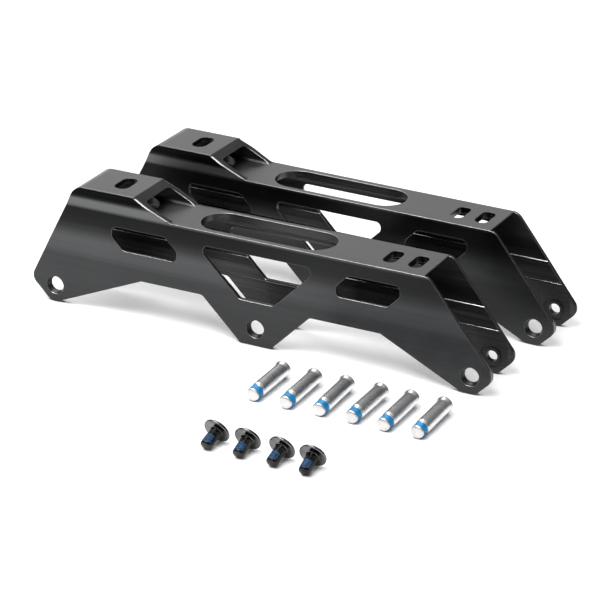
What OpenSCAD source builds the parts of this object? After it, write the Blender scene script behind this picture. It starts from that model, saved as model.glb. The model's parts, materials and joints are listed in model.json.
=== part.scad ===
// A pair of three wheel inline skate frames, laid out with their wheel axles and mounting bolts.
// X runs from heel to toe, Y across the frames and Z up. The origin lies on the floor that every
// piece rests on, in the middle of the area that the whole set covers.

/* [Wheels] */
// Distance between neighbouring wheel axles
axle_pitch = 121.5; // [119:0.5:126]
// Diameter of the largest wheel that fits
wheel_d = 110; // [106:1:112]
// Clearance between that wheel and the decks
wheel_clear = 1.2; // [0.8:0.1:2]
// Gap between the hub bosses of the two walls
hub_gap = 24.5; // [23.5:0.1:25]
// Height of the axle line over the bottom of the feet
axle_h = 9.6; // [9:0.1:11]

/* [Decks] */
// Height of the toe deck's top over the floor
deck_h = 59; // [58:0.5:62]
// Thickness of the toe deck
deck_t = 3.6; // [2.8:0.1:4.5]
// How much higher the heel platform's top lies
heel_lift = 10.5; // [9:0.5:13]
// Thickness of the heel platform
heel_t = 2.6; // [2:0.1:4]
// Radius of the fillets under the toe deck
deck_fillet_r = 4; // [2:0.5:5]
// Radius of the fillets inside the heel box
box_fillet_r = 2; // [1:0.5:2.5]
// Distance from the middle axle back to the heel platform's front edge
platform_in = 71.8; // [70:0.1:74]
// Length of the slope from the heel platform down to the toe deck
step_run = 21.8; // [16:0.1:26]

/* [Walls] */
// Overall width at the feet
foot_w = 31; // [30.4:0.1:32.4]
// Overall width at the widest band
belly_w = 31.8; // [31.4:0.1:33]
// Lower edge of the widest band
belly_low_h = 36; // [30:0.5:42]
// Upper edge of the widest band
belly_high_h = 48; // [44:0.5:52]
// Radius of the soft bends at the edges of the widest band
belly_bend_r = 60; // [30:5:90]
// Radius of the soft bends from the walls into the bead
shoulder_r = 12; // [6:1:16]
// Overall width over the round bead between the toe deck and the heel platform
bead_w = 33.6; // [33:0.1:34]
// Depth of the bead's middle under the heel platform's top
bead_drop = 4.5; // [4:0.1:5]
// Radius of the bead
bead_r = 6; // [2:0.5:7]
// Overall width at the toe deck
deck_w = 31.4; // [31:0.1:32]
// Overall width of the heel platform
heel_w = 31.2; // [30.6:0.1:31.8]
// Rounding of the heel platform's long edges
heel_edge_r = 1; // [0.4:0.1:1.2]
// Inside width between the walls under the toe deck
inner_w = 28; // [27.4:0.1:28.4]
// Inside width of the heel box
box_w = 25.2; // [24.8:0.1:26]
// Height of the upper inside ledge
ledge_high_h = 35.3; // [33:0.1:37]
// Height of the small inside step between the ledges
ledge_mid_h = 31.3; // [29:0.1:32]
// Height of the lower inside ledge
ledge_low_h = 24.1; // [22:0.1:26]
// How far the wall thickens at the upper ledge
ledge_high_w = 0.7; // [0.4:0.1:0.8]
// How far the wall thickens at the small step
ledge_mid_w = 0.25; // [0.1:0.05:0.3]

/* [Side outline] */
// How far the toe deck ends behind the toe axle
toe_setback = 24; // [20:0.5:28]
// How far the heel platform ends in front of the heel axle
heel_setback = 14.2; // [11:0.1:18]
// How far the toe foot reaches past its axle
toe_reach = 13.7; // [12:0.1:16]
// How far the heel foot reaches past its axle
heel_reach = 15; // [12:0.1:17]
// How far the flat of the two outer feet runs past their axles
foot_flat = 3.1; // [2:0.1:5]
// Where the flat of the toe foot starts, behind its axle
toe_foot_in = 4.2; // [3:0.1:8]
// Where the flat of the heel foot starts, in front of its axle
heel_foot_in = 1; // [0.8:0.1:5]
// Height of the arches between the feet
arch_h = 22.6; // [20:0.1:23]
// Half the length of the middle foot's flat
mid_foot_half = 8.9; // [7:0.1:12]
// Distance from the toe axle back to the top of the toe arch
toe_arch_in = 50; // [46:0.5:54]
// Distance from the heel axle forward to the top of the heel arch
heel_arch_in = 53.5; // [48:0.5:56]
// Corner radius of the feet
foot_r = 6; // [4:0.5:7]
// Radius of the heel foot's inner corner
heel_foot_r = 3; // [2:0.5:4]
// Corner radius at the end of the toe deck
deck_end_r = 6; // [4:0.5:8]
// Corner radius at the end of the heel platform
heel_end_r = 8; // [5:0.5:9]
// Radius of the small corners of the outline
corner_r = 3; // [1.5:0.5:3.5]
// Radius of the heel platform's front corner
tight_corner_r = 1.5; // [1:0.5:3]

/* [Side windows] */
// Height of the top edge of all windows
window_top_h = 50.8; // [49:0.1:51.5]
// Height of the outer windows' bottom edge
outer_window_low_h = 38; // [36:0.1:39]
// Height of the middle window's bottom edge
mid_window_low_h = 24.8; // [24.4:0.1:28]
// Distance from the middle axle to the outer windows
outer_window_in = 46.5; // [44:0.1:49]
// Length of the heel window
heel_window_l = 38.8; // [34:0.1:42]
// Length of the toe window
toe_window_l = 35.5; // [30:0.1:38]
// Size of the slanted corners of the outer windows
outer_window_cut = 6.9; // [4:0.1:8]
// Half the length of the middle window
mid_window_half = 31.2; // [27:0.1:34]
// Height of the middle window's upright ends
mid_window_side_h = 4.7; // [4:0.1:8]
// How far the middle window sits towards the toe
mid_window_shift = 0.7; // [0:0.1:2]
// Corner radius of the windows
window_r = 3; // [1.5:0.5:3.5]

/* [Deck openings] */
// Width of the long openings in the toe deck
opening_w = 24.4; // [22:0.1:25]
// Half the length of the opening over the middle wheel
mid_opening_half = 38.6; // [34:0.1:42]
// Distance from the middle axle back to the opening under the heel platform
heel_opening_in = 67; // [62:0.5:72]
// Distance from the heel slot to the middle axle
heel_slot_x = 85.3; // [80:0.1:88]
// Distance between the heel slot and the middle of the two toe slots
mount_length = 163.3; // [160:0.1:166]
// Distance between the two toe slots
toe_slot_pitch = 14.1; // [12:0.1:16]
// Width of the toe slots
toe_slot_w = 7.2; // [6.6:0.1:9]
// Length of the toe slots, across the frame
toe_slot_l = 15.6; // [12:0.1:18]
// Width of the heel slot
heel_slot_w = 8.2; // [6.6:0.1:10]
// Length of the heel slot, across the frame
heel_slot_l = 15.6; // [12:0.1:18]

/* [Axle holes] */
// Clearance on the diameter between an axle and its hole
axle_fit = 0.2; // [0.1:0.05:0.4]
// Clearance on the diameter between an axle's head and its seat
seat_fit = 1; // [0.4:0.1:1.2]
// Depth of the straight part of the head's seat
seat_depth = 1.2; // [0.8:0.1:1.4]
// Width of the hub boss around each hole
boss_ring = 1.5; // [1:0.1:2]
// Width of the groove around each hub boss
groove_w = 1.7; // [1:0.1:2]
// Depth of that groove
groove_depth = 0.6; // [0.3:0.1:0.8]
// How far a hub boss stands out from its pad
boss_rise = 0.2; // [0.1:0.05:0.3]
// How far a pad stands out from the wall
pad_rise = 0.3; // [0.1:0.05:0.4]
// Half the length of a pad
pad_half = 8.7; // [8:0.1:10]

/* [Axles] */
// Overall length of an axle
axle_l = 33; // [31:0.1:36]
// Diameter of the axle's shaft
shaft_d = 7.9; // [7.8:0.05:8]
// Diameter of the axle's head
axle_head_d = 9.2; // [9:0.1:10]
// Length of the head's straight part
axle_head_l = 2.2; // [1.2:0.1:2.6]
// Diameter of the axle's threaded end
axle_thread_d = 7; // [6.5:0.1:7.1]
// Length of the axle's threaded end
axle_thread_l = 6.2; // [6.2:0.1:8]
// How much narrower than that thread the tapped holes are, which are drawn at their core width
thread_bite = 0.9; // [0.8:0.1:1.1]
// Length of the taper from the shaft to the thread
axle_taper_l = 0.8; // [0.6:0.1:2]
// Rounding of the head's outer edge
axle_edge = 0.6; // [0.3:0.1:0.8]
// Width across the flats of the key sockets
key_w = 4; // [3:0.5:4]
// Depth of the key sockets
key_depth = 2; // [1.2:0.1:3]

/* [Mounting bolts] */
// Diameter of the bolt's thread
bolt_d = 6; // [5:0.5:6.5]
// Length of the bolt under its head
bolt_l = 10.2; // [9:0.1:14]
// Diameter of the bolt's head
bolt_head_d = 14.1; // [12:0.1:15]
// Thickness of the bolt's head
bolt_head_l = 2.1; // [2.1:0.1:3.5]
// Rounding of the head's rim
bolt_edge = 0.9; // [0.5:0.1:1.2]
// Bevel at the tips of bolts and axles
tip_bevel = 0.8; // [0.5:0.1:1]

/* [Threadlocker] */
// Thickness of the dried threadlocker
lock_t = 0.2; // [0.1:0.05:0.25]
// Length of the band on an axle
axle_lock_l = 5.1; // [3:0.1:5.2]
// Distance from the tip of the axle to its band
axle_lock_tip = 1; // [1:0.1:1.1]
// Length of the patch on a bolt
bolt_lock_l = 5.4; // [4:0.1:6.6]
// Distance from the tip of the bolt to its patch
bolt_lock_tip = 1; // [1:0.1:3]
// Angle of the patch around the bolt
bolt_lock_angle = 170; // [120:5:200]

/* [Layout] */
// Place of the near frame's middle axle along the set
frame_x = -2.2; // [-6:0.1:6]
// Place of the near frame across the set
frame_y = 22; // [10:0.1:34]
// Clear gap between the two frames
pair_gap = 39.8; // [36:0.1:60]
// How far the far frame lies towards the toe
pair_shift = 5.8; // [0:0.1:12]
// Turn of the far frame seen from above
pair_turn = -1.1; // [-2:0.1:2]
// Distance from the middle wheel axle to the first loose axle, along the frame
axle_row_x = 30.3; // [24:0.1:36]
// Distance between neighbouring axles on the floor
axle_row_pitch = 17.9; // [16:0.1:22]
// Distance from the near frame to the axle heads
axle_row_gap = 25.5; // [10:0.1:40]
// Distance from the middle wheel axle to the first bolt, along the frame
bolt_row_x = 34.8; // [26:0.1:46]
// Distance between neighbouring bolts on the floor
bolt_row_pitch = 17.7; // [16.5:0.1:24]
// Distance from the axle tips to the bolt heads
bolt_row_gap = 45; // [12:0.1:60]

/* [Hidden] */
$fn = 72;
AXLES = 6;
BOLTS = 4;
// How each axle and bolt lies: its turn in degrees, then how far it lies out of its row in X and Y
AXLE_LAY = [
    [-1.1, -0.2, 0],
    [-0.6, 0, -0.1],
    [0.2, -0.1, 0.4],
    [-1.7, 0.8, 0.7],
    [-0.9, -0.1, 0.5],
    [-0.4, -0.3, 1]
];
BOLT_LAY = [
    [-6.1, 1, -1.3],
    [-1.7, 0.4, -1.8],
    [-4.4, 1.5, -2.3],
    [1.3, 0.4, -2.8]
];
// Overshoot of cutting bodies, so that they pass through the faces they open
OVER = 1;
// Degrees of arc between two points of a rounded corner
ARC_STEP = 7.5;

anodised = [0.11, 0.11, 0.12];
bright_steel = [0.78, 0.79, 0.8];
black_steel = [0.05, 0.05, 0.055];
lock_blue = [0, 0.42, 0.72];

heel_h = deck_h + heel_lift;
deck_under_h = deck_h - deck_t;
wheel_space_r = wheel_d / 2 + wheel_clear;
boss_y = hub_gap / 2;
pad_y = boss_y + boss_rise;
low_y = pad_y + pad_rise;
mid_y = inner_w / 2 - ledge_high_w;
step_y = mid_y - ledge_mid_w;
seat_d = axle_head_d + seat_fit;
bore_d = shaft_d + axle_fit;
tapped_d = axle_thread_d - thread_bite;
// The head's underside and its seat both taper at 45 degrees
head_cone_l = (axle_head_d - shaft_d) / 2;
seat_cone_l = (seat_d - bore_d) / 2;
// Long enough to cut through the whole frame from the middle axle
frame_reach = axle_pitch + heel_reach + OVER;
toe_slot_x = mount_length - heel_slot_x;
axle_heads_y = frame_y - belly_w / 2 - axle_row_gap;
bolt_heads_y = axle_heads_y - axle_l - bolt_row_gap;
shaft_end = axle_l - axle_thread_l - axle_taper_l;
bolt_tip = bolt_head_l + bolt_l;
// Where the threadlocker starts, measured from the head's face
axle_lock_at = axle_l - axle_lock_tip - axle_lock_l;
bolt_lock_at = bolt_tip - bolt_lock_tip - bolt_lock_l;

function unit(v) = v / norm(v);

// Points that round corner b between its neighbours a and c, where b is [x, y, radius]
function corner(a, b, c) =
    let (
        p = [b[0], b[1]],
        u = unit([a[0], a[1]] - p),
        v = unit([c[0], c[1]] - p),
        half = acos(u * v) / 2,
        r = b[2],
        centre = p + unit(u + v) * r / sin(half),
        first = p + u * r / tan(half) - centre,
        last = p + v * r / tan(half) - centre,
        start = atan2(first[1], first[0]),
        swing = atan2(last[1], last[0]) - start,
        turn = swing > 180 ? swing - 360 : swing < -180 ? swing + 360 : swing,
        count = max(1, ceil(abs(turn) / ARC_STEP)),
        angles = [for (i = [0:count]) start + turn * i / count]
    )
    r == 0 ? [p] : [for (at = angles) centre + r * [cos(at), sin(at)]];

// Closed outline from a list of [x, y, radius]
function rounded(corners) =
    let (n = len(corners))
    [for (i = [0:n - 1]) each corner(corners[(i + n - 1) % n], corners[i], corners[(i + 1) % n])];

// Adds the mirror image of a half section, so that it closes over the middle
function both_sides(half) =
    concat(half, [for (i = [len(half) - 1:-1:0]) [-half[i][0], half[i][1], half[i][2]]]);

// Extrudes an outline drawn in X and Z through the frame's width
module through_y(outline, width) {
    translate([0, width / 2, 0])
        rotate([90, 0, 0])
            linear_extrude(width)
                polygon(outline);
}

// Extrudes an outline drawn in Y and Z along the frame
module along_x(outline) {
    translate([-frame_reach, 0, 0])
        rotate([90, 0, 90])
            linear_extrude(2 * frame_reach)
                polygon(outline);
}

// Upright round-ended cutter from x_from to x_to
module slot_along_x(x_from, x_to, width, low, high) {
    for (x = [x_from + width / 2, x_to - width / 2])
        translate([x, 0, low])
            cylinder(d = width, h = high - low);
    translate([x_from + width / 2, -width / 2, low])
        cube([x_to - x_from - width, width, high - low]);
}

// Upright round-ended cutter across the frame
module slot_across(x, width, length, low, high) {
    translate([x, 0, 0])
        rotate([0, 0, 90])
            slot_along_x(-length / 2, length / 2, width, low, high);
}

// Cylinder about an axle line from one Y to another
module about_axle(d, y_from, y_to) {
    translate([0, y_to, axle_h])
        rotate([90, 0, 0])
            cylinder(d = d, h = y_to - y_from);
}

// Outside of the extrusion: feet, belly, toe deck shoulder and heel platform
section_outside = rounded(both_sides([
    [foot_w / 2, 0, 0],
    [belly_w / 2, belly_low_h, belly_bend_r],
    [belly_w / 2, belly_high_h, belly_bend_r],
    [deck_w / 2, deck_h, shoulder_r],
    [bead_w / 2, heel_h - bead_drop, bead_r],
    [heel_w / 2, heel_h, heel_edge_r]
]));

// Space between the walls under the toe deck, with its ledges
section_wheel_space = rounded(both_sides([
    [low_y, -OVER, 0],
    [low_y, ledge_low_h, 0],
    [step_y, ledge_low_h, 0],
    [step_y, ledge_mid_h, 0],
    [mid_y, ledge_mid_h, 0],
    [mid_y, ledge_high_h, 0],
    [inner_w / 2, ledge_high_h, 0],
    [inner_w / 2, deck_under_h, deck_fillet_r]
]));

// Closed space between the two decks
section_heel_box = rounded([
    [box_w / 2, deck_h, box_fillet_r],
    [box_w / 2, heel_h - heel_t, box_fillet_r],
    [-box_w / 2, heel_h - heel_t, box_fillet_r],
    [-box_w / 2, deck_h, box_fillet_r]
]);

// Side view of the frame, clockwise from the back of the heel platform
side_outline = rounded([
    [-axle_pitch + heel_setback, heel_h, heel_end_r],
    [-platform_in, heel_h, tight_corner_r],
    [-platform_in + step_run, deck_h, corner_r],
    [axle_pitch - toe_setback, deck_h, deck_end_r],
    [axle_pitch + toe_reach, toe_reach - foot_flat, foot_r],
    [axle_pitch + foot_flat, 0, foot_r],
    [axle_pitch - toe_foot_in, 0, foot_r],
    [axle_pitch - toe_arch_in, arch_h, corner_r],
    [mid_foot_half + arch_h, arch_h, corner_r],
    [mid_foot_half, 0, corner_r],
    [-mid_foot_half, 0, corner_r],
    [-mid_foot_half - arch_h, arch_h, corner_r],
    [-axle_pitch + heel_arch_in, arch_h, corner_r],
    [-axle_pitch + heel_foot_in, 0, heel_foot_r],
    [-axle_pitch - foot_flat, 0, foot_r],
    [-axle_pitch - heel_reach, heel_reach - foot_flat, foot_r]
]);

// Outline of an outer window that starts at x_in and runs away from the middle axle
function outer_window(x_in, length) = rounded([
    [x_in, outer_window_low_h, window_r],
    [x_in, window_top_h - outer_window_cut, window_r],
    [x_in + outer_window_cut, window_top_h, window_r],
    [x_in + length, window_top_h, window_r],
    [x_in + length, outer_window_low_h + outer_window_cut, window_r],
    [x_in + length - outer_window_cut, outer_window_low_h, window_r]
]);

mid_window_corner_h = window_top_h - mid_window_side_h;
mid_window_low_half = mid_window_half - mid_window_corner_h + mid_window_low_h;
mid_window = rounded([
    [-mid_window_half, window_top_h, window_r],
    [mid_window_half, window_top_h, window_r],
    [mid_window_half, mid_window_corner_h, window_r],
    [mid_window_low_half, mid_window_low_h, window_r],
    [-mid_window_low_half, mid_window_low_h, window_r],
    [-mid_window_half, mid_window_corner_h, window_r]
]);

// Distance from the middle of the frame to the outside of its wall at the axle line
wall_y = (foot_w + (belly_w - foot_w) * axle_h / belly_low_h) / 2;

// The two walls and two decks as extruded, before the side outline is cut
module extrusion() {
    difference() {
        along_x(section_outside);
        along_x(section_wheel_space);
        along_x(section_heel_box);
    }
}

// Raised pad on the inside of a wall, around an axle hole
module hub_pad() {
    translate([-pad_half, pad_y, 0])
        cube([2 * pad_half, low_y - pad_y + OVER, ledge_low_h]);
}

// Round recess that leaves a groove around the hub boss
module hub_recess(hole_d) {
    about_axle(hole_d + 2 * (boss_ring + groove_w), pad_y - OVER, pad_y + groove_depth);
}

// Round boss that the wheel's bearing rests against
module hub_boss(hole_d) {
    about_axle(hole_d + 2 * boss_ring, boss_y, pad_y + groove_depth + OVER / 2);
}

// Repeats its children at the three axles
module at_axles() {
    for (x = [-axle_pitch, 0, axle_pitch])
        translate([x, 0, 0])
            children();
}

// Room for the outer wheels, cut out of the toe deck's level only
module wheel_relief(x, top) {
    low = deck_under_h - deck_fillet_r;
    translate([x, 0, 0])
        intersection() {
            about_axle(2 * wheel_space_r, -inner_w / 2, inner_w / 2);
            translate([-wheel_space_r, -inner_w / 2, low])
                cube([2 * wheel_space_r, inner_w, top - low]);
        }
}

// Stepped hole in the near wall, with the seat for the axle's head
module axle_hole() {
    seat_y = seat_depth - wall_y;
    about_axle(bore_d, -wall_y - OVER, 0);
    about_axle(seat_d, -wall_y - OVER, seat_y);
    translate([0, seat_y + seat_cone_l, axle_h])
        rotate([90, 0, 0])
            cylinder(d1 = bore_d, d2 = seat_d, h = seat_cone_l);
}

// Tapped hole in the far wall
module tapped_hole() {
    about_axle(tapped_d, 0, wall_y + OVER);
}

module side_windows() {
    width = belly_w + 2 * OVER;
    through_y(outer_window(outer_window_in, toe_window_l), width);
    mirror([1, 0, 0])
        through_y(outer_window(outer_window_in, heel_window_l), width);
    translate([mid_window_shift, 0, 0])
        through_y(mid_window, width);
}

module deck_openings() {
    low = deck_under_h - OVER;
    high = deck_h + OVER;
    slot_along_x(-mid_opening_half, mid_opening_half, opening_w, low, high);
    slot_along_x(-frame_reach, -heel_opening_in, opening_w, low, high);
    for (side = [-1, 1])
        slot_across(toe_slot_x + side * toe_slot_pitch / 2, toe_slot_w, toe_slot_l, low, high);
    slot_across(-heel_slot_x, heel_slot_w, heel_slot_l, heel_h - heel_t - OVER, heel_h + OVER);
}

// One frame, standing on its feet
module frame() {
    difference() {
        union() {
            difference() {
                intersection() {
                    union() {
                        extrusion();
                        at_axles() {
                            hub_pad();
                            mirror([0, 1, 0]) hub_pad();
                        }
                    }
                    through_y(side_outline, belly_w + 2 * OVER);
                }
                at_axles() {
                    hub_recess(tapped_d);
                    mirror([0, 1, 0]) hub_recess(bore_d);
                }
                side_windows();
                deck_openings();
                wheel_relief(axle_pitch, deck_h + OVER);
                wheel_relief(-axle_pitch, deck_h);
            }
            at_axles() {
                hub_boss(tapped_d);
                mirror([0, 1, 0]) hub_boss(bore_d);
            }
        }
        at_axles() {
            axle_hole();
            tapped_hole();
        }
    }
}

module near_frame() {
    color(anodised)
        translate([frame_x, frame_y, 0])
            frame();
}

module far_frame() {
    color(anodised)
        translate([frame_x + pair_shift, frame_y + belly_w + pair_gap, 0])
            rotate([0, 0, pair_turn])
                frame();
}

// Six sided key socket that opens at the end of an axle or a bolt
module key_socket() {
    translate([0, 0, -OVER])
        cylinder(d = key_w / cos(30), h = key_depth + OVER, $fn = 6);
}

// An axle along +Z with its head's face at the origin
module axle() {
    head_r = axle_head_d / 2;
    shaft_r = shaft_d / 2;
    thread_r = axle_thread_d / 2;
    difference() {
        rotate_extrude()
            polygon([
                [0, 0],
                [head_r - axle_edge, 0],
                [head_r, axle_edge],
                [head_r, axle_head_l],
                [shaft_r, axle_head_l + head_cone_l],
                [shaft_r, shaft_end],
                [thread_r, axle_l - axle_thread_l],
                [thread_r, axle_l - tip_bevel],
                [thread_r - tip_bevel, axle_l],
                [0, axle_l]
            ]);
        key_socket();
    }
}

// A mounting bolt along +Z with its head's face at the origin
module mount_bolt() {
    head_r = bolt_head_d / 2;
    thread_r = bolt_d / 2;
    difference() {
        rotate_extrude()
            polygon([
                [0, 0],
                [head_r - 2 * bolt_edge, 0],
                [head_r - bolt_edge / 2, bolt_edge / 2],
                [head_r, bolt_edge],
                [head_r, bolt_head_l],
                [thread_r, bolt_head_l],
                [thread_r, bolt_tip - tip_bevel],
                [thread_r - tip_bevel, bolt_tip],
                [0, bolt_tip]
            ]);
        key_socket();
    }
}

// Band or patch of dried threadlocker around a thread along +Z
module threadlock(thread_d, from, length, angle) {
    rotate([0, 0, 90 - angle / 2])
        rotate_extrude(angle = angle)
            translate([thread_d / 2, from])
                square([lock_t, length]);
}

// Lays its children down with the heads towards the frames, so that they rest on the rim of the
// head, which lies at rim_at along the piece, and on the edge of radius end_r at end_at
module laid_down(x, y, turn, rim_r, rim_at, end_r, end_at) {
    tilt = atan((rim_r - end_r) / (end_at - rim_at));
    translate([x, y, rim_at * sin(tilt) + rim_r * cos(tilt)])
        rotate([0, 0, turn])
            rotate([90 + tilt, 0, 0])
                children();
}

module lay_axle(i) {
    laid_down(
        frame_x + axle_row_x + i * axle_row_pitch + AXLE_LAY[i][1],
        axle_heads_y + AXLE_LAY[i][2],
        AXLE_LAY[i][0],
        axle_head_d / 2,
        axle_head_l,
        shaft_d / 2,
        shaft_end
    ) children();
}

module lay_bolt(i) {
    laid_down(
        frame_x + bolt_row_x + i * bolt_row_pitch + BOLT_LAY[i][1],
        bolt_heads_y + BOLT_LAY[i][2],
        BOLT_LAY[i][0],
        bolt_head_d / 2,
        bolt_head_l,
        bolt_d / 2,
        bolt_tip - tip_bevel
    ) children();
}

module laid_axle(i) {
    color(bright_steel)
        lay_axle(i)
            axle();
}

module laid_axle_lock(i) {
    color(lock_blue)
        lay_axle(i)
            threadlock(axle_thread_d, axle_lock_at, axle_lock_l, 360);
}

module laid_bolt(i) {
    color(black_steel)
        lay_bolt(i)
            mount_bolt();
}

module laid_bolt_lock(i) {
    color(lock_blue)
        lay_bolt(i)
            threadlock(bolt_d, bolt_lock_at, bolt_lock_l, bolt_lock_angle);
}

near_frame();
far_frame();
for (i = [0:AXLES - 1]) {
    laid_axle(i);
    laid_axle_lock(i);
}
for (i = [0:BOLTS - 1]) {
    laid_bolt(i);
    laid_bolt_lock(i);
}
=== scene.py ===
"""Looks of a pair of inline skate frames with their wheel axles and mounting bolts."""

import json
import math

import bmesh
import bpy
from mathutils import Matrix, Vector, noise


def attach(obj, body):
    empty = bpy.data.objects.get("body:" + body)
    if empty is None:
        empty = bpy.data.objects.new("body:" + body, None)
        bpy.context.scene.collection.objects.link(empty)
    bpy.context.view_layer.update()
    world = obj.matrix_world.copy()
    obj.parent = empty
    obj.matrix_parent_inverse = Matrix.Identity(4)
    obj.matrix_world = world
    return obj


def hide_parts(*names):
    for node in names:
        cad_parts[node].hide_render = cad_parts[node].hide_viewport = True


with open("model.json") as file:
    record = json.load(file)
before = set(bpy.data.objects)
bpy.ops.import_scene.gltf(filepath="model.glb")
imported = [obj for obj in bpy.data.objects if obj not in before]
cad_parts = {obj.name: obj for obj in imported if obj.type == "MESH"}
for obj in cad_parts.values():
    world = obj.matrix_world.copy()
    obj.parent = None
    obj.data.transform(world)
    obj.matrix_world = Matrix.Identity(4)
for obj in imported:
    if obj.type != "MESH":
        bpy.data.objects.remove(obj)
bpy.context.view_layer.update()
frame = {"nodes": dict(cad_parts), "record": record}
MM = 0.001

# ---------------------------------------------------------------- camera

# Fitted to the photograph: metres for its place, degrees for its angles, millimetres for its lens
CAMERA_AT = Vector((0.5999, -1.1282, 0.5996))
CAMERA_AZIMUTH = 26.92
CAMERA_ELEVATION = 24.05
CAMERA_ROLL = 0.47
CAMERA_LENS = 163.46
CAMERA_SENSOR = 36
CAMERA_CLIP = (0.05, 20)


def add_camera():
    az, el, roll = (math.radians(a) for a in (CAMERA_AZIMUTH, CAMERA_ELEVATION, CAMERA_ROLL))
    right = Vector((math.cos(az), math.sin(az), 0))
    back = Vector((math.sin(az) * math.cos(el), -math.cos(az) * math.cos(el), math.sin(el)))
    up = back.cross(right)
    side = math.cos(roll) * right + math.sin(roll) * up
    top = -math.sin(roll) * right + math.cos(roll) * up
    turn = Matrix((side, top, back)).transposed().to_4x4()
    data = bpy.data.cameras.new("camera")
    data.lens = CAMERA_LENS
    data.sensor_width = CAMERA_SENSOR
    data.sensor_fit = "HORIZONTAL"
    data.clip_start, data.clip_end = CAMERA_CLIP
    camera = bpy.data.objects.new("camera", data)
    camera.matrix_world = Matrix.Translation(CAMERA_AT) @ turn
    bpy.context.scene.collection.objects.link(camera)
    bpy.context.scene.camera = camera


# ---------------------------------------------------------------- node helpers


class Graph:
    """A material's or the world's node tree, with short calls for what is used here."""

    def __init__(self, tree):
        self.tree = tree
        tree.nodes.clear()

    def add(self, kind, inputs=None, **settings):
        node = self.tree.nodes.new("ShaderNode" + kind)
        for key, value in settings.items():
            setattr(node, key, value)
        for key, value in (inputs or {}).items():
            self.set(node.inputs[key], value)
        return node

    def set(self, socket, value):
        if isinstance(value, bpy.types.NodeSocket):
            self.tree.links.new(value, socket)
        elif isinstance(value, tuple) and socket.type == "RGBA":
            socket.default_value = (*value, 1)
        else:
            socket.default_value = value

    def math(self, operation, a, b=0.5, clamp=False):
        node = self.add("Math", {0: a, 1: b}, operation=operation, use_clamp=clamp)
        return node.outputs[0]

    def ramp(self, value, stops):
        """Grey levels at (place, level) stops, straight between them."""
        node = self.add("ValToRGB", {"Fac": value})
        ramp = node.color_ramp
        while len(ramp.elements) < len(stops):
            ramp.elements.new(0.5)
        for element, (place, level) in zip(ramp.elements, stops):
            element.position = place
            element.color = (level, level, level, 1)
        return node.outputs["Color"]

    def remap(self, value, low, high, to_low=0.0, to_high=1.0):
        reach = {"From Min": low, "From Max": high, "To Min": to_low, "To Max": to_high}
        return self.add("MapRange", {"Value": value, **reach}).outputs["Result"]

    def noise(self, vector, scale, detail=2.0, roughness=0.5):
        inputs = {"Vector": vector, "Scale": scale, "Detail": detail, "Roughness": roughness}
        return self.add("TexNoise", inputs).outputs["Fac"]

    def stretched(self, vector, scale):
        node = self.add("Mapping", {"Vector": vector, "Scale": scale})
        return node.outputs["Vector"]

    def mix(self, fac, a, b):
        node = self.add("Mix", data_type="RGBA")
        self.set(node.inputs["Factor"], fac)
        self.set(node.inputs[6], a)
        self.set(node.inputs[7], b)
        return node.outputs[2]

    def scaled(self, value, colour):
        """A colour times a single value."""
        node = self.add("VectorMath", {0: colour, "Scale": value}, operation="SCALE")
        return node.outputs["Vector"]

    def grey(self, colour):
        return self.add("RGBToBW", {0: colour}).outputs[0]

    def object_place(self):
        return self.add("TexCoord").outputs["Object"]

    def axes(self, vector):
        """X, Y and Z of a vector."""
        split = self.add("SeparateXYZ", {0: vector})
        return tuple(split.outputs[axis] for axis in "XYZ")

    def facing(self):
        """X, Y and Z of the direction that the surface faces."""
        return self.axes(self.add("NewGeometry").outputs["Normal"])

    def edge_mask(self, radius):
        """Rises to 1 on edges that are sharper than the given radius."""
        round_normal = self.add("Bevel", {"Radius": radius}, samples=6).outputs[0]
        normal = self.add("NewGeometry").outputs["Normal"]
        dot = self.add("VectorMath", {0: round_normal, 1: normal}, operation="DOT_PRODUCT")
        return self.remap(self.math("SUBTRACT", 1.0, dot.outputs["Value"]), 0.02, 0.35)


def new_material(name):
    material = bpy.data.materials.new(name)
    material.use_nodes = True
    return material, Graph(material.node_tree)


def close_material(graph, inputs, bump):
    shader = graph.add("BsdfPrincipled", {**inputs, "Normal": bump.outputs[0]})
    out = graph.add("OutputMaterial")
    graph.set(out.inputs["Surface"], shader.outputs["BSDF"])


# ---------------------------------------------------------------- materials


def anodised_graph(name):
    """The grain, blotches and drawing lines that all faces of the anodised frames share."""
    material, g = new_material(name)
    place = g.object_place()
    streaks = g.noise(g.stretched(place, (9, 700, 700)), 1.0, 3.0, 0.6)
    blotches = g.noise(place, 28.0, 2.0)
    grain = g.noise(place, 2600.0, 2.0, 0.7)
    cloudy = g.remap(blotches, 0.3, 0.7, 0.31, 0.36)
    rough = g.math("ADD", cloudy, g.remap(streaks, 0.3, 0.7, -0.02, 0.02))
    fine = g.add("Bump", {"Height": grain, "Strength": 0.08, "Distance": 0.0002}).outputs[0]
    bump = g.add("Bump", {"Height": streaks, "Strength": 0.02, "Distance": 0.0003, "Normal": fine})
    x, _, z = g.axes(place)
    parts = {"place": place, "x": x, "z": z, "streaks": streaks, "blotches": blotches}
    parts.update(rough=rough, bump=bump)
    return material, g, parts


# Painted reflection bands of the outer walls, tone at a height in metres: at the heel, and from the toe
# window on
WALL_PAINTED_BANDS = [
    (0.0000, 0.42, 0.40),
    (0.0285, 0.41, 0.38),
    (0.0325, 0.58, 0.50),
    (0.0400, 0.64, 0.51),
    (0.0455, 0.28, 0.28),
    (0.0500, 0.14, 0.19),
    (0.0574, 0.11, 0.18),
    (0.0592, 0.92, 0.90),
    (0.0628, 1.00, 0.95),
    (0.0647, 0.10, 0.10),
    (0.0660, 0.08, 0.08),
    (0.0680, 0.15, 0.15),
    (0.0700, 0.15, 0.15),
]
# Stretch of the frame over which the heel's painted bands give way to the toe's
HEEL_TO_TOE = (-0.02, 0.035)
ANODISED_BLACK = (0.125, 0.127, 0.130)


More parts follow.
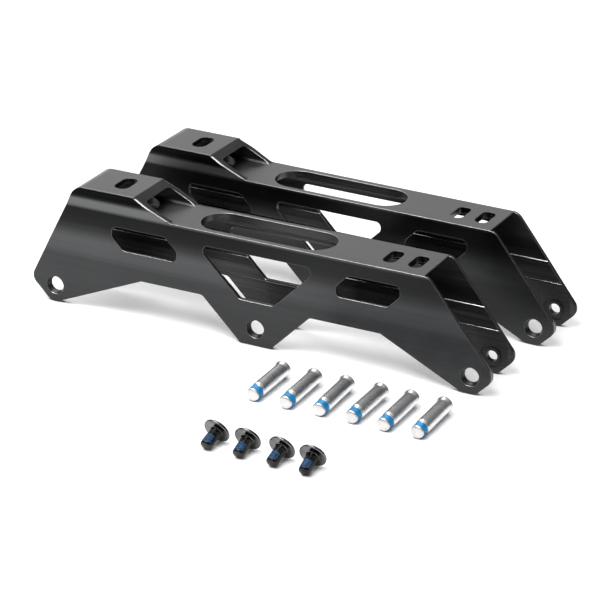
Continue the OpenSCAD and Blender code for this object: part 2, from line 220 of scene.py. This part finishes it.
def anodised_material():
    """The outer faces. Soft bands of painted reflection follow the height, on the upright walls alone,
    and faces turned toward the toe get painted shade.
    """
    material, g, parts = anodised_graph("anodised_black")
    top = WALL_PAINTED_BANDS[-1][0]
    up = g.remap(parts["z"], 0.0, top)
    # Painted reflection: lighter and darker bands by height on the upright walls, mixed from heel to
    # toe
    heel = g.ramp(up, [(row[0] / top, row[1]) for row in WALL_PAINTED_BANDS])
    toe = g.ramp(up, [(row[0] / top, row[2]) for row in WALL_PAINTED_BANDS])
    tone = g.grey(g.mix(g.remap(parts["x"], *HEEL_TO_TOE), heel, toe))
    forward, across, _ = g.facing()
    wall = g.remap(g.math("ABSOLUTE", across), 0.5, 0.85)
    level = g.math("ADD", g.math("MULTIPLY", tone, wall), g.math("SUBTRACT", 1.0, wall))
    # Painted shade: faces turned toward the toe are darker
    level = g.math("MULTIPLY", level, g.remap(forward, 0.2, 0.4, 1.0, 0.86))
    level = g.math("MULTIPLY", level, g.remap(parts["streaks"], 0.3, 0.7, 0.92, 1.06))
    level = g.math("MULTIPLY", level, g.remap(parts["blotches"], 0.3, 0.7, 0.95, 1.05))
    look = {"Base Color": g.scaled(level, ANODISED_BLACK), "Metallic": 1.0, "Roughness": parts["rough"]}
    close_material(g, look, parts["bump"])
    return material


# Painted shade of the inner faces: their tone at a height in metres
INSIDE_PAINTED_SHADE = [
    (0.0000, 0.055),
    (0.0240, 0.058),
    (0.0300, 0.066),
    (0.0330, 0.055),
    (0.0400, 0.022),
    (0.0430, 0.026),
    (0.0480, 0.072),
    (0.0700, 0.072),
]
# Share of that painted shade's tone along the frame, from 0 at the heel to 1 at the toe
INSIDE_SHADE_SHARES = [
    (0.00, 1.00),
    (0.10, 0.45),
    (0.27, 0.45),
    (0.35, 1.00),
    (0.60, 0.90),
    (0.68, 0.12),
    (0.84, 0.12),
    (0.95, 1.00),
]
INSIDE_REACH = (-0.12, 0.12)
INSIDE_TINT = (1, 1.01, 1.03)


def shaded_inside_material():
    """The inner faces, a darker and duller copy of the outer material: painted shade by height and
    along the frame.
    """
    material, g, parts = anodised_graph("anodised_inside_shaded")
    top = INSIDE_PAINTED_SHADE[-1][0]
    stops = [(height / top, tone) for height, tone in INSIDE_PAINTED_SHADE]
    tone = g.ramp(g.remap(parts["z"], 0.0, top), stops)
    share = g.ramp(g.remap(parts["x"], *INSIDE_REACH), INSIDE_SHADE_SHARES)
    # Painted shade: the inner faces darken by height and along the frame
    level = g.math("MULTIPLY", g.grey(tone), g.grey(share))
    level = g.math("MULTIPLY", level, g.remap(parts["streaks"], 0.3, 0.7, 0.7, 1.2))
    rough = g.math("ADD", parts["rough"], 0.04)
    look = {"Base Color": g.scaled(level, INSIDE_TINT), "Metallic": 0.8, "Roughness": rough}
    close_material(g, {**look, "Specular IOR Level": 0.1}, parts["bump"])
    return material


def cut_edge_material(name, dull, bright, inner=1.0):
    """The broken edges of windows, slots and walls: chipped wear mixed with a painted highlight,
    brighter where they face up and toward the near side.

    Inner is the share of that wear and painted highlight away from the toe end.
    """
    material, g, parts = anodised_graph(name)
    chips = g.noise(parts["place"], 420.0, 3.0, 0.65)
    run = g.noise(parts["place"], 55.0, 2.0)
    forward, across, up = g.facing()
    ends = g.remap(g.math("ABSOLUTE", forward), 0.35, 0.6, 1.0, 0.1)
    spots = g.remap(chips, 0.3, 0.55, 0.4, 1.0)
    # Painted highlight mixed with wear: chipped spots, lit up on faces turned up and to the near side,
    # dimmer on ends and high up
    wear_and_highlight = g.math("MULTIPLY", spots, g.remap(run, 0.3, 0.6, 0.6, 1.0), clamp=True)
    wear_and_highlight = g.math("MULTIPLY", wear_and_highlight, g.math("MULTIPLY", g.remap(up, 0.15, 0.5), ends))
    wear_and_highlight = g.math("MULTIPLY", wear_and_highlight, g.remap(parts["x"], 0.085, 0.10, inner, 1.0))
    wear_and_highlight = g.math("MULTIPLY", wear_and_highlight, g.remap(parts["z"], 0.046, 0.056, 1.0, 0.6))
    wear_and_highlight = g.math("MULTIPLY", wear_and_highlight, g.remap(across, 0.1, 0.4, 1.0, 0.1))
    colour = g.mix(wear_and_highlight, (dull, dull, dull), (bright, bright, bright))
    rough = g.remap(chips, 0.3, 0.7, 0.28, 0.4)
    bump = g.add("Bump", {"Height": chips, "Strength": 0.1, "Distance": 0.0001})
    close_material(g, {"Base Color": colour, "Metallic": 0.95, "Roughness": rough}, bump)
    return material


def steel_material(name, dark, light, rough_low, rough_high, underside_light):
    """Turned steel. Its last argument says how much lighter it is painted below, a painted reflection
    of the pale floor.
    """
    material, g = new_material(name)
    place = g.object_place()
    turning = g.noise(g.stretched(place, (500, 2400, 500)), 1.0, 3.0, 0.6)
    cloud = g.noise(place, 160.0, 3.0)
    colour = g.mix(g.remap(cloud, 0.35, 0.65), dark, light)
    _, _, up = g.facing()
    # Painted light: faces turned down are lighter, as if lit from the floor
    painted_underside = g.remap(up, 0.0, 0.35, underside_light, 1.0)
    colour = g.scaled(g.math("MULTIPLY", painted_underside, g.remap(turning, 0.3, 0.7, 0.96, 1.04)), colour)
    rough = g.remap(turning, 0.3, 0.7, rough_low, rough_high)
    bump = g.add("Bump", {"Height": turning, "Strength": 0.006, "Distance": 0.0001})
    close_material(g, {"Base Color": colour, "Metallic": 0.88, "Roughness": rough}, bump)
    return material


def black_steel_material(name, dark, light, rough_low, rough_high):
    """Blackened steel, with the black chipped off here and there along its edges."""
    material, g = new_material(name)
    place = g.object_place()
    cloud = g.noise(place, 220.0, 3.0)
    edges = g.edge_mask(0.0003)
    chips = g.noise(place, 900.0, 2.0)
    wear = g.math("MULTIPLY", edges, g.remap(chips, 0.48, 0.6), clamp=True)
    cold, warm = (dark, dark, dark * 1.05), (light, light * 0.98, light * 0.97)
    base = g.mix(g.remap(cloud, 0.35, 0.65), cold, warm)
    colour = g.mix(g.math("MULTIPLY", wear, 0.4), base, (0.34, 0.33, 0.32))
    rough = g.remap(cloud, 0.3, 0.7, rough_low, rough_high)
    bump = g.add("Bump", {"Height": chips, "Strength": 0.02, "Distance": 0.0001})
    close_material(g, {"Base Color": colour, "Metallic": 1.0, "Roughness": rough}, bump)
    return material


def threadlock_material(name, bright, deep):
    """Dried threadlocker, which is dull, lumpy and of uneven colour."""
    material, g = new_material(name)
    place = g.object_place()
    cloud = g.noise(place, 900.0, 3.0, 0.7)
    colour = g.mix(g.remap(cloud, 0.38, 0.56), deep, bright)
    rough = g.remap(cloud, 0.3, 0.7, 0.3, 0.5)
    lumps = g.noise(place, 1800.0, 3.0)
    bump = g.add("Bump", {"Height": lumps, "Strength": 0.35, "Distance": 0.0002})
    close_material(g, {"Base Color": colour, "Roughness": rough}, bump)
    return material


# ---------------------------------------------------------------- turned pieces

AROUND = 72
PITCH = 1.0 * MM
THREAD_DEPTH = 0.5 * MM
# Half the groove's width as a share of the pitch, and how much its bottom is flattened
GROOVE_HALF = 0.42
GROOVE_FLAT = 1.25
RINGS_PER_TURN = 10
TURNED_SMOOTH = 32


def round_ring(at, radius):
    return [(at, radius)] * AROUND


def hex_ring(at, across):
    """A ring on a hexagon of that width across its flats."""
    radii = []
    for i in range(AROUND):
        turn = (360 * i / AROUND) % 60 - 30
        radii.append((at, across / 2 / math.cos(math.radians(turn))))
    return radii


def groove_depth(at, turn):
    """Depth of the screw thread's groove at that place along the axis and part of a turn."""
    phase = (at / PITCH - turn) % 1
    groove = max(0.0, 1 - abs(phase - 0.5) / GROOVE_HALF)
    return THREAD_DEPTH * min(1.0, groove * GROOVE_FLAT)


def thread_rings(start, end, radius, fade):
    """Rings of a screw thread, which fades in over the first stretch and out at the tip."""
    steps = round((end - start) / PITCH * RINGS_PER_TURN)
    rings = []
    for k in range(steps + 1):
        at = start + (end - start) * k / steps
        ease = min(1.0, (at - start) / fade, (end - at) / (0.4 * fade))
        rings.append([(at, radius - ease * groove_depth(at, i / AROUND)) for i in range(AROUND)])
    return rings


def lathe(name, rings, frame_of_piece, materials, second_from):
    """A mesh from rings of (place along the axis, radius).

    Past ring second_from it has the second material.
    """
    vertices = []
    faces = []
    for ring in rings:
        for i, (at, radius) in enumerate(ring):
            turn = 2 * math.pi * i / AROUND
            spot = Vector((radius * math.cos(turn), radius * math.sin(turn), at))
            vertices.append(frame_of_piece @ spot)
    for k in range(len(rings) - 1):
        a, b = k * AROUND, (k + 1) * AROUND
        for i in range(AROUND):
            j = (i + 1) % AROUND
            faces.append((a + i, a + j, b + j, b + i))
    faces.append(tuple(range(AROUND - 1, -1, -1)))
    last = (len(rings) - 1) * AROUND
    faces.append(tuple(range(last, last + AROUND)))
    piece = mesh_piece(name, vertices, faces, materials, TURNED_SMOOTH)
    for face in piece.data.polygons:
        face.material_index = int(max(face.vertices) // AROUND > second_from)
    return piece


def mesh_piece(name, vertices, faces, materials, angle):
    mesh = bpy.data.meshes.new(name)
    mesh.from_pydata(vertices, [], faces)
    return add_piece(name, mesh, materials, angle)


def add_piece(name, mesh, materials, angle):
    """An object of that mesh, smooth up to that angle in degrees between its faces."""
    for material in materials:
        mesh.materials.append(material)
    piece = bpy.data.objects.new(name, mesh)
    bpy.context.scene.collection.objects.link(piece)
    mesh.shade_smooth()
    mesh.set_sharp_from_angle(angle=math.radians(angle))
    return piece


def axis_frame(head, along):
    """Matrix that takes +Z from the origin to a piece's axis from its head's face."""
    turn = Vector((0, 0, 1)).rotation_difference(along).to_matrix().to_4x4()
    return Matrix.Translation(head) @ turn


AXLE_L = 33 * MM
AXLE_HEAD_R = 4.6 * MM
AXLE_HEAD_L = 2.2 * MM
SHAFT_R = 3.95 * MM
AXLE_THREAD_R = 3.5 * MM
AXLE_THREAD_L = 6.2 * MM
AXLE_TAPER_L = 0.8 * MM
AXLE_EDGE = 0.6 * MM
TIP = 0.8 * MM
KEY_W = 4 * MM
KEY_DEPTH = 2 * MM
SHAFT_START = AXLE_HEAD_L + AXLE_HEAD_R - SHAFT_R
SHAFT_END = AXLE_L - AXLE_THREAD_L - AXLE_TAPER_L
AXLE_THREAD_FADE = 1.2 * MM
CORNER = 0.12 * MM
RINGS_PER_CORNER = 3


def edge_rings(points):
    """Rings through (place, radius) points, with a small round on each inner corner."""
    rings = []
    for k, (at, radius) in enumerate(points):
        if k in (0, len(points) - 1):
            rings.append(round_ring(at, radius))
            continue
        here = Vector((at, radius))
        before = (Vector(points[k - 1]) - here).normalized()
        after = (Vector(points[k + 1]) - here).normalized()
        middle = here + (before + after) * CORNER * 0.25
        for end in (here + before * CORNER, middle, here + after * CORNER):
            rings.append(round_ring(end.x, end.y))
    return rings


def socket_rings():
    """The key socket, from its bottom up to the face around its mouth."""
    return [
        round_ring(KEY_DEPTH + 0.5 * MM, 0.15 * MM),
        hex_ring(KEY_DEPTH, KEY_W - 0.3 * MM),
        hex_ring(KEY_DEPTH - 0.1 * MM, KEY_W),
        hex_ring(0.2 * MM, KEY_W),
        hex_ring(0, KEY_W + 0.3 * MM),
    ]


def tip_rings(end, radius):
    """The rounded tip of a thread."""
    return [
        round_ring(end - 0.6 * TIP, radius - 0.14 * TIP),
        round_ring(end - 0.25 * TIP, radius - 0.42 * TIP),
        round_ring(end - 0.05 * MM, radius - TIP + 0.02 * MM),
        round_ring(end, radius - TIP - 0.1 * MM),
    ]


def make_axle(number, steel, thread):
    mount = next(m for m in frame["record"]["mounts"] if m["name"] == f"axle_{number}_shaft")
    along = Vector(mount["axis"])
    head = Vector(mount["pos_m"]) - along * (SHAFT_START + SHAFT_END) / 2
    place = axis_frame(head, along)
    profile = [
        (0, AXLE_HEAD_R - AXLE_EDGE - 0.4 * MM),
        (0, AXLE_HEAD_R - AXLE_EDGE),
        (AXLE_EDGE, AXLE_HEAD_R),
        (AXLE_HEAD_L / 2, AXLE_HEAD_R),
        (SHAFT_START, SHAFT_R),
        (SHAFT_END, SHAFT_R),
        (SHAFT_END + AXLE_TAPER_L, AXLE_THREAD_R),
        (SHAFT_END + AXLE_TAPER_L + 0.4 * MM, AXLE_THREAD_R),
    ]
    rings = socket_rings() + edge_rings(profile)
    taper_end = len(rings) - 1 - RINGS_PER_CORNER
    rings += thread_rings(profile[-1][0], AXLE_L - TIP, AXLE_THREAD_R, AXLE_THREAD_FADE)
    rings += tip_rings(AXLE_L, AXLE_THREAD_R)
    piece = lathe(f"axle_{number}_turned", rings, place, (steel, thread), taper_end)
    settle(piece, f"axle_{number}")
    return place


def settle(piece, node):
    """The piece stands for that CAD node and moves with it."""
    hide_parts(node)
    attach(piece, node.removesuffix("_threadlock"))


def axis_of(name):
    """Head's face centre and direction of a bolt, read from its CAD mesh."""
    mesh = frame["nodes"][name].data
    area = {}
    for face in mesh.polygons:
        key = tuple(round(c, 2) for c in face.normal)
        total = area.setdefault(key, [0.0, Vector()])
        total[0] += face.area
        total[1] += face.normal * face.area
    along = max(area.values(), key=lambda total: total[0])[1].normalized()
    reach = [v.co.dot(along) for v in mesh.vertices]
    low, high = min(reach), max(reach)
    ends = [v.co for v, r in zip(mesh.vertices, reach) if r > high - 0.01 * MM]
    tip = {tuple(round(c, 6) for c in end) for end in ends}
    centre = sum((Vector(t) for t in tip), Vector()) / len(tip)
    return centre - along * (high - low), along


BOLT_L = 12.3 * MM
BOLT_R = 3 * MM
BOLT_HEAD_R = 7.05 * MM
BOLT_HEAD_L = 2.1 * MM
BOLT_EDGE = 0.9 * MM
BOLT_THREAD_FADE = 1.0 * MM


def make_bolt(number, black, thread):
    name = f"mount_bolt_{number}"
    place = axis_frame(*axis_of(name))
    profile = [
        (0, BOLT_HEAD_R - 2.3 * BOLT_EDGE),
        (0, BOLT_HEAD_R - 2 * BOLT_EDGE),
        (0.12 * MM, BOLT_HEAD_R - 1.3 * BOLT_EDGE),
        (BOLT_EDGE / 2, BOLT_HEAD_R - BOLT_EDGE / 2),
        (BOLT_EDGE, BOLT_HEAD_R - 0.05 * MM),
        (BOLT_HEAD_L - 0.6 * MM, BOLT_HEAD_R),
        (BOLT_HEAD_L - 0.3 * MM, BOLT_HEAD_R - 0.08 * MM),
        (BOLT_HEAD_L, BOLT_HEAD_R - 0.45 * MM),
        (BOLT_HEAD_L, BOLT_R + 0.5 * MM),
        (BOLT_HEAD_L + 0.5 * MM, BOLT_R),
        (BOLT_HEAD_L + 0.9 * MM, BOLT_R),
    ]
    rings = socket_rings() + edge_rings(profile)
    under_head = len(rings) - 2 - RINGS_PER_CORNER
    rings += thread_rings(profile[-1][0], BOLT_L - TIP, BOLT_R, BOLT_THREAD_FADE)
    rings += tip_rings(BOLT_L, BOLT_R)
    piece = lathe(f"{name}_turned", rings, place, (black, thread), under_head)
    settle(piece, name)
    return place


LOCK_T = 0.2 * MM
AXLE_LOCK = (26.9 * MM, 32.5 * MM)
BOLT_LOCK = (5.9 * MM, 11.3 * MM)
LOCK_STEPS = 44
LOCK_DEPTH = 0.62 * MM
LOCK_EDGE_DROP = 0.35 * MM
LOCK_SMOOTH = 60
# Degrees around the bolt, and how far its two long sides wander
BOLT_LOCK_ARC = 124
BOLT_LOCK_WANDER = 9
# Share of the thread's groove that the threadlocker lets show
GROOVE_SHOWN = 0.75


def ragged(spot, seed):
    """How far inside its reach the threadlocker ends on that side of the thread."""
    return (0.2 + 0.36 * noise.noise(spot * 2.6 + seed)) * MM


def make_lock(node, place, radius, reach, arc, material):
    """Dried threadlocker with ragged ends, which follows the thread under it.

    Reach is from and to along the axis, arc from and to in degrees around it.
    """
    seed = Vector((sum(map(ord, node)) * 0.37, 0, 0))
    full = arc[1] - arc[0] >= 360
    columns = AROUND if full else round(AROUND * (arc[1] - arc[0]) / 360)
    low, high = reach
    outer, inner = [], []
    for k in range(LOCK_STEPS + 1):
        for i in range(columns + (not full)):
            side = i / columns
            turn = math.radians(arc[0] + (arc[1] - arc[0]) * side)
            spot = Vector((math.cos(turn), math.sin(turn), 0))
            start, end = low + ragged(spot, seed), high - ragged(spot, -seed)
            at = min(max(start + (end - start) * k / LOCK_STEPS, low), high)
            if not full:
                wave = noise.noise(Vector((at / (1.1 * MM), 3 * round(side), 0)) + seed)
                turn += math.radians(BOLT_LOCK_WANDER) * (2 * side - 1) * (wave - 0.5)
                spot = Vector((math.cos(turn), math.sin(turn), 0))
            lump = noise.noise(spot * 3.2 + Vector((0, 0, at / (0.9 * MM))) + seed)
            groove = GROOVE_SHOWN * groove_depth(at, turn / (2 * math.pi) % 1)
            height = radius + LOCK_T * (0.72 + 0.28 * lump) - groove
            edge = min(k, LOCK_STEPS - k) / 3
            if not full:
                edge = min(edge, min(i, columns - i) / 2)
            height -= (1 - min(1.0, edge)) * LOCK_EDGE_DROP
            outer.append(place @ (spot * min(height, radius + LOCK_T) + Vector((0, 0, at))))
            inner.append(place @ (spot * (radius - LOCK_DEPTH) + Vector((0, 0, at))))
    count = len(outer)
    wide = columns + (not full)
    faces = []
    for k in range(LOCK_STEPS):
        for i in range(columns):
            j = (i + 1) % wide
            row, after = k * wide, (k + 1) * wide
            a, b, c, d = row + i, row + j, after + j, after + i
            faces += [(a, b, c, d), (count + d, count + c, count + b, count + a)]
    rim_pairs = [(i, (i + 1) % wide) for i in range(columns)]
    last = LOCK_STEPS * wide
    faces += [(count + a, count + b, b, a) for a, b in rim_pairs]
    faces += [(last + a, last + b, count + last + b, count + last + a) for a, b in rim_pairs]
    if not full:
        for k in range(LOCK_STEPS):
            a, b = k * wide, (k + 1) * wide
            c, d = a + columns, b + columns
            faces += [(a, b, count + b, count + a), (count + c, count + d, d, c)]
    piece = mesh_piece(f"{node}_dried", outer + inner, faces, (material,), LOCK_SMOOTH)
    settle(piece, node)


# ---------------------------------------------------------------- frames

FRAME_TURN = {"near_frame": 0.0, "far_frame": math.radians(-1.1)}

# Widths of the broken edges, and the turn from which an edge is broken
EDGE_BEVEL = 0.3 * MM
SLOPE_BEVEL = 0.9 * MM
LEDGE_BEVEL = 0.26 * MM
SHARP = math.radians(32)
FRAME_SMOOTH = 40

# Places of a frame's materials in main's list
OUTSIDE, CUT, INSIDE, LEDGE, SLOPE = range(5)

# Space around an axle hole's mount that its bore and seat fill
HUB_R = 7.5 * MM
HUB_DEPTH = 5 * MM

# Where a frame's faces and edges lie. A side is a distance from the frame's middle plane, a height
# is one above the floor, and a reach is a stretch along the frame.
INNER_SIDE = 14.3 * MM
INNER_EDGE_SIDE = 14.25 * MM
LEDGE_SIDES = (12 * MM, 14.2 * MM)
LEDGE_HEIGHTS = (23 * MM, 36 * MM)
TOP_LEDGE_SIDE = 13 * MM
TOP_LEDGE_HEIGHT = 35 * MM
BOSS_SIDE = 13.4 * MM
BOSS_HEIGHT = 24 * MM
SLOPE_SIDE = 12.9 * MM
SLOPE_HEIGHTS = (59.5 * MM, 69 * MM)
SLOPE_REACH = (-85 * MM, -30 * MM)
PLATFORM_SIDE = 12 * MM
PLATFORM_HEIGHT = 66 * MM
TOE_DECK_HEIGHT = 58 * MM
TOE_SLOTS_REACH = (60 * MM, 100 * MM)
SLOT_SIDE = 8.5 * MM

# Points closer than this are one, and faces that turn less than this are one
WELD = 1e-6
FLAT = math.radians(0.6)


def near_hub(point):
    """True close to the axis of one of the wheel axle holes."""
    for mount in frame["record"]["mounts"]:
        if "axle" in mount["name"] and "frame" in mount["name"]:
            away = point - Vector(mount["pos_m"])
            if math.hypot(away.x, away.z) < HUB_R and abs(away.y) < HUB_DEPTH:
                return True
    return False


def between(value, limits):
    return limits[0] < value < limits[1]


def kind_of_face(face, across, side):
    """Which of a frame's materials a face takes."""
    middle = face.calc_center_median()
    turned_in = face.normal.dot(across) * side < -0.5 * abs(side)
    on_ledge = between(middle.z, LEDGE_HEIGHTS) and between(abs(side), LEDGE_SIDES)
    # Up-facing inner ledges take the bright ledge material, a painted highlight
    if face.normal.z > 0.9 and on_ledge:
        return LEDGE
    # Inner faces, undersides and the faces around the axle bores take the inside material, which is
    # painted shade
    if abs(side) < INNER_SIDE and (turned_in or face.normal.z < -0.5):
        return INSIDE
    if abs(face.normal.dot(across)) < 0.5 and near_hub(middle):
        return INSIDE
    return OUTSIDE


def bevel_of_edge(edge, near_y):
    """Width of the break on an edge: none, a ledge's, the platform's slope's or the rest's."""
    if len(edge.link_faces) != 2 or edge.calc_face_angle_signed() < SHARP:
        return None
    middle = (edge.verts[0].co + edge.verts[1].co) / 2
    side = abs(near_y(middle))
    along = (edge.verts[1].co - edge.verts[0].co).normalized()
    lies_along = abs(along.x) > 0.99
    if side < INNER_EDGE_SIDE and middle.z < LEDGE_HEIGHTS[1] and lies_along:
        on_top_ledge = middle.z > TOP_LEDGE_HEIGHT and side > TOP_LEDGE_SIDE
        return LEDGE_BEVEL if on_top_ledge else None
    if side < BOSS_SIDE and middle.z < BOSS_HEIGHT:
        return None
    on_slope = between(middle.z, SLOPE_HEIGHTS) and between(middle.x, SLOPE_REACH)
    if on_slope and abs(along.x) < 0.95 and side > SLOPE_SIDE:
        return SLOPE_BEVEL
    return EDGE_BEVEL


def unhighlighted_edge(middle, near_y):
    """True on the platform's long edges and around the mounting slots, which keep the outer material
    and get no painted highlight.
    """
    side = abs(near_y(middle))
    if middle.z > PLATFORM_HEIGHT:
        return side > PLATFORM_SIDE or side < SLOT_SIDE
    return middle.z > TOE_DECK_HEIGHT and side < SLOT_SIDE and between(middle.x, TOE_SLOTS_REACH)


def dress_frame(name, materials):
    """A copy of a frame's own mesh with its machined edges broken, which stands for the CAD node."""
    turn = FRAME_TURN[name]
    across = Vector((-math.sin(turn), math.cos(turn), 0))
    source = frame["nodes"][name].data
    reach = [v.co.dot(across) for v in source.vertices]
    centre = (min(reach) + max(reach)) / 2

    def near_y(point):
        return point.dot(across) - centre

    bm = bmesh.new()
    bm.from_mesh(source)
    bmesh.ops.remove_doubles(bm, verts=bm.verts, dist=WELD)
    bmesh.ops.dissolve_limit(
        bm, angle_limit=FLAT, verts=bm.verts, edges=bm.edges, use_dissolve_boundaries=False
    )
    for face in bm.faces:
        face.material_index = kind_of_face(face, across, near_y(face.calc_center_median()))
    for width, kind in ((LEDGE_BEVEL, LEDGE), (SLOPE_BEVEL, SLOPE), (EDGE_BEVEL, CUT)):
        bmesh.ops.bevel(
            bm,
            geom=[e for e in bm.edges if bevel_of_edge(e, near_y) == width],
            offset=width,
            offset_type="OFFSET",
            segments=3,
            profile=0.5,
            affect="EDGES",
            clamp_overlap=False,
            material=kind,
        )
    for face in bm.faces:
        # These edges lose the painted highlight of the cut edge material
        if face.material_index == CUT and unhighlighted_edge(face.calc_center_median(), near_y):
            face.material_index = OUTSIDE
    mesh = bpy.data.meshes.new(f"{name}_body")
    bm.to_mesh(mesh)
    bm.free()
    piece = add_piece(f"{name}_body", mesh, materials, FRAME_SMOOTH)
    weighted = piece.modifiers.new("even_faces", "WEIGHTED_NORMAL")
    weighted.keep_sharp = True
    weighted.weight = 80
    settle(piece, name)


# ---------------------------------------------------------------- the whole set

AXLES = 6
BOLTS = 4


def main():
    add_camera()
    frame_materials = (
        anodised_material(),
        # The cut edge, ledge and slope edge materials mix wear with a painted highlight
        cut_edge_material("anodised_cut_edge", 0.085, 0.62),
        shaded_inside_material(),
        cut_edge_material("anodised_ledge", 0.12, 0.98, 0.2),
        cut_edge_material("anodised_slope_edge", 0.14, 0.6),
    )
    dark, light = (0.60, 0.61, 0.62), (0.68, 0.68, 0.69)
    steel = steel_material("axle_steel_turned", dark, light, 0.26, 0.33, 1.3)
    dark, light = (0.66, 0.65, 0.63), (0.76, 0.75, 0.73)
    thread = steel_material("axle_steel_thread", dark, light, 0.3, 0.42, 1.0)
    black = black_steel_material("bolt_black_head", 0.13, 0.19, 0.08, 0.13)
    black_thread = black_steel_material("bolt_black_thread", 0.02, 0.045, 0.08, 0.15)
    bright, deep = (0.0, 0.30, 0.64), (0.0, 0.13, 0.34)
    axle_lock = threadlock_material("threadlocker_axle", bright, deep)
    bright, deep = (0.014, 0.085, 0.22), (0.002, 0.012, 0.035)
    bolt_lock = threadlock_material("threadlocker_bolt", bright, deep)
    for name in FRAME_TURN:
        dress_frame(name, frame_materials)
    for number in range(1, AXLES + 1):
        place = make_axle(number, steel, thread)
        node = f"axle_{number}_threadlock"
        make_lock(node, place, AXLE_THREAD_R, AXLE_LOCK, (0, 360), axle_lock)
    for number in range(1, BOLTS + 1):
        place = make_bolt(number, black, black_thread)
        up = place.to_3x3().inverted() @ Vector((0, 0, 1))
        top = math.degrees(math.atan2(up.y, up.x))
        arc = (top - BOLT_LOCK_ARC / 2, top + BOLT_LOCK_ARC / 2)
        make_lock(f"mount_bolt_{number}_threadlock", place, BOLT_R, BOLT_LOCK, arc, bolt_lock)


# ---------------------------------------------------------------- stage

FLOOR_SIZE = 6
FLOOR_DROP = 0.05 * MM
# Light of the room at a height, from 0 below the horizon to 1 overhead
ROOM_TONES = [(0.0, 0.6), (0.10, 0.5), (0.16, 0.12), (0.64, 0.10), (0.84, 0.45), (1.0, 0.45)]
PANEL_LIGHT = (1.1, 1.1, 1.1)
WHITE = (1, 1, 1)


def add_floor():
    """Plain pale paper, which looks white to the camera but for the object's shadow."""
    material, g = new_material("floor_white")
    place = g.object_place()
    cloud = g.noise(place, 3.0)
    paper = g.mix(g.remap(cloud, 0.3, 0.7), (0.80, 0.80, 0.80), (0.82, 0.82, 0.82))
    matte = g.add("BsdfDiffuse", {"Color": paper})
    path = g.add("LightPath")
    seen = g.math("MAXIMUM", path.outputs["Is Camera Ray"], path.outputs["Is Glossy Ray"])
    away = g.add("VectorMath", {0: place}, operation="LENGTH").outputs["Value"]
    # The glow seen by camera and reflections grows with distance and fades where ambient occlusion
    # finds the object close: a painted contact shadow
    contact = g.add("AmbientOcclusion", {"Distance": 0.005}, samples=8).outputs["AO"]
    lift = g.math("MULTIPLY", g.remap(away, 0.35, 1.2, 0.32, 0.8), g.remap(contact, 0.3, 0.75))
    glow = g.add("Emission", {"Color": WHITE, "Strength": g.math("MULTIPLY", seen, lift)})
    both = g.add("AddShader", {0: matte.outputs[0], 1: glow.outputs[0]})
    out = g.add("OutputMaterial")
    g.set(out.inputs["Surface"], both.outputs[0])
    half = FLOOR_SIZE / 2
    mesh = bpy.data.meshes.new("floor")
    corners = [(-half, -half, 0), (half, -half, 0), (half, half, 0), (-half, half, 0)]
    mesh.from_pydata(corners, [], [(0, 1, 2, 3)])
    mesh.materials.append(material)
    floor = bpy.data.objects.new("floor", mesh)
    bpy.context.scene.collection.objects.link(floor)
    floor.location.z = -FLOOR_DROP


def add_world():
    """A dim room with a low bright panel behind on the left. The camera sees white in its place."""
    world = bpy.data.worlds.new("studio")
    world.use_nodes = True
    bpy.context.scene.world = world
    g = Graph(world.node_tree)
    path = g.add("LightPath")
    x, y, z = g.axes(g.add("TexCoord").outputs["Generated"])
    left = g.remap(x, -0.12, 0.10, 1.0, 0.0)
    behind = g.remap(y, 0.2, 0.45)
    low = g.remap(z, 0.42, 0.52, 1.0, 0.0)
    panel = g.math("MULTIPLY", g.math("MULTIPLY", left, behind), low)
    room = g.ramp(g.remap(z, -0.1, 1.0), ROOM_TONES)
    level = g.mix(panel, room, PANEL_LIGHT)
    colour = g.mix(path.outputs["Is Camera Ray"], level, WHITE)
    ground = g.add("Background", {"Color": colour, "Strength": 1.0})
    out = g.add("OutputWorld")
    g.set(out.inputs["Surface"], ground.outputs[0])


def add_area(name, at, size, energy):
    """A softbox that faces the middle of the set."""
    data = bpy.data.lights.new(name, "AREA")
    data.shape = "RECTANGLE"
    data.size, data.size_y = size
    data.energy = energy
    lamp = bpy.data.objects.new(name, data)
    lamp.location = at
    lamp.rotation_euler = (-Vector(at)).to_track_quat("-Z", "Y").to_euler()
    bpy.context.scene.collection.objects.link(lamp)


add_floor()
add_world()
add_area("softbox_left", (-0.55, 0.35, 1.1), (0.9, 0.9), 8)
add_area("softbox_top", (-0.15, -0.5, 1.15), (1.0, 0.5), 15)
main()
bpy.context.scene.view_settings.view_transform = "Standard"
